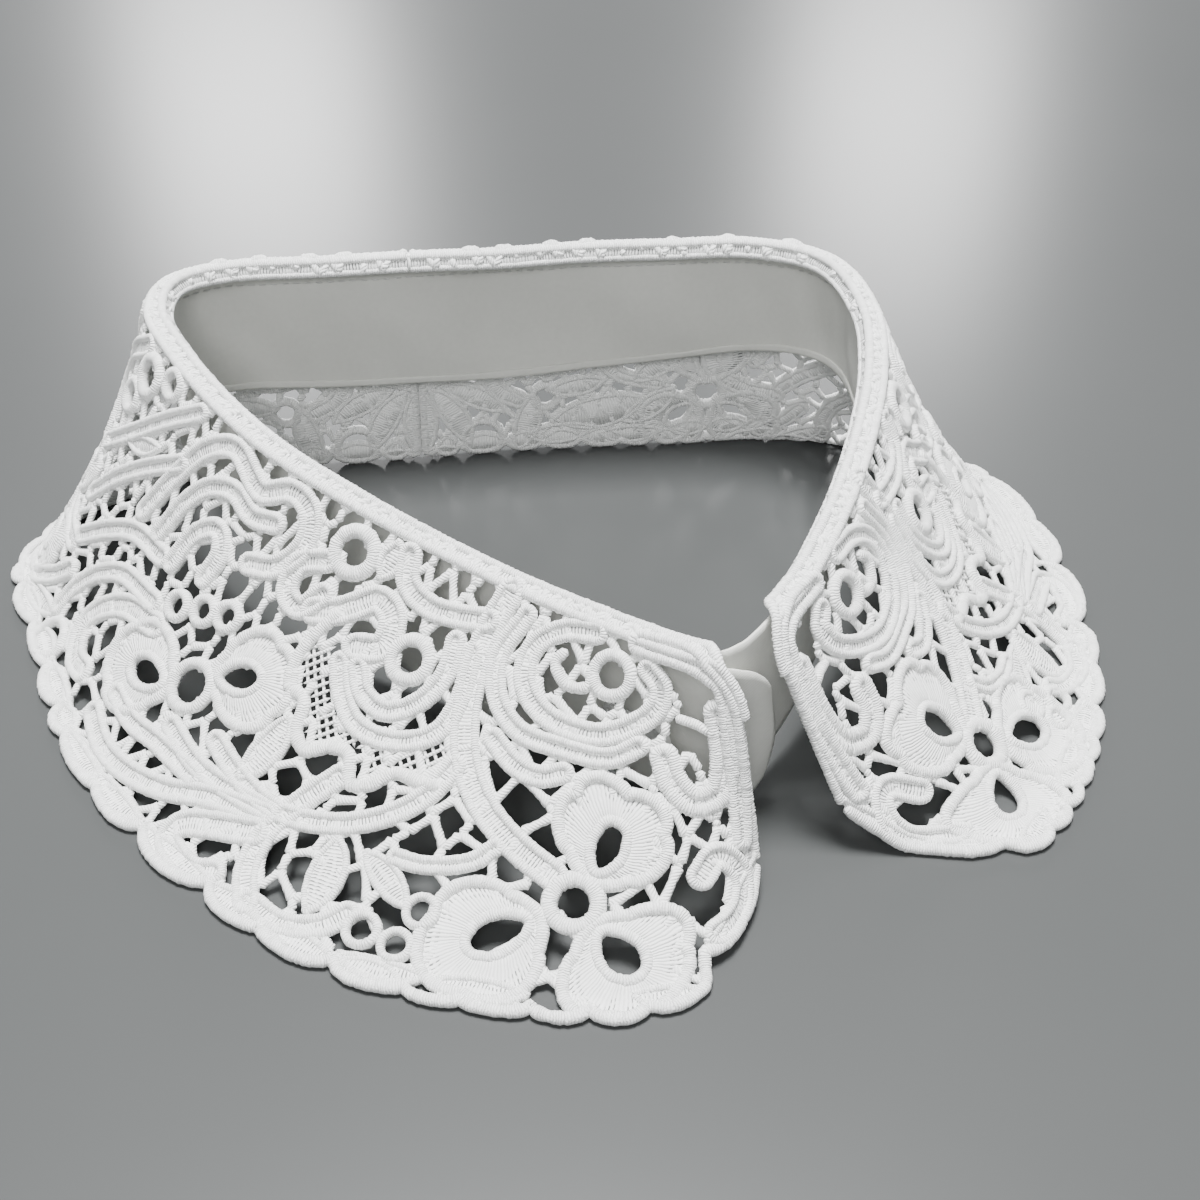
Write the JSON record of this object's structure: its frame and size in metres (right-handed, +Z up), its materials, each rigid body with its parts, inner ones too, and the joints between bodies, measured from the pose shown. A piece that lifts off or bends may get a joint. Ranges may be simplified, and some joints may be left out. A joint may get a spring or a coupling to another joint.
{
  "type": "lace collar",
  "caption": "Detachable collar of white guipure lace on a cotton stand band that buttons at the front, standing open on a flat surface.",
  "frame": {"origin": "middle of the box round the collar, on the surface that the lace hem rests on", "axes": "+Z up, -Y towards the front opening, +X towards the side whose band end lies underneath"},
  "size_m": [0.2066, 0.1762, 0.0529],
  "materials": {
    "guipure_cotton": "matte satin-stitched cotton lace",
    "cotton_lawn": "matte thin cotton lawn",
    "white_button": "glossy white"
  },
  "bodies": {
    "root": {"lace_left": "guipure_cotton", "lace_right": "guipure_cotton", "neck_band": "cotton_lawn", "button": "white_button"}
  },
  "joints": []
}
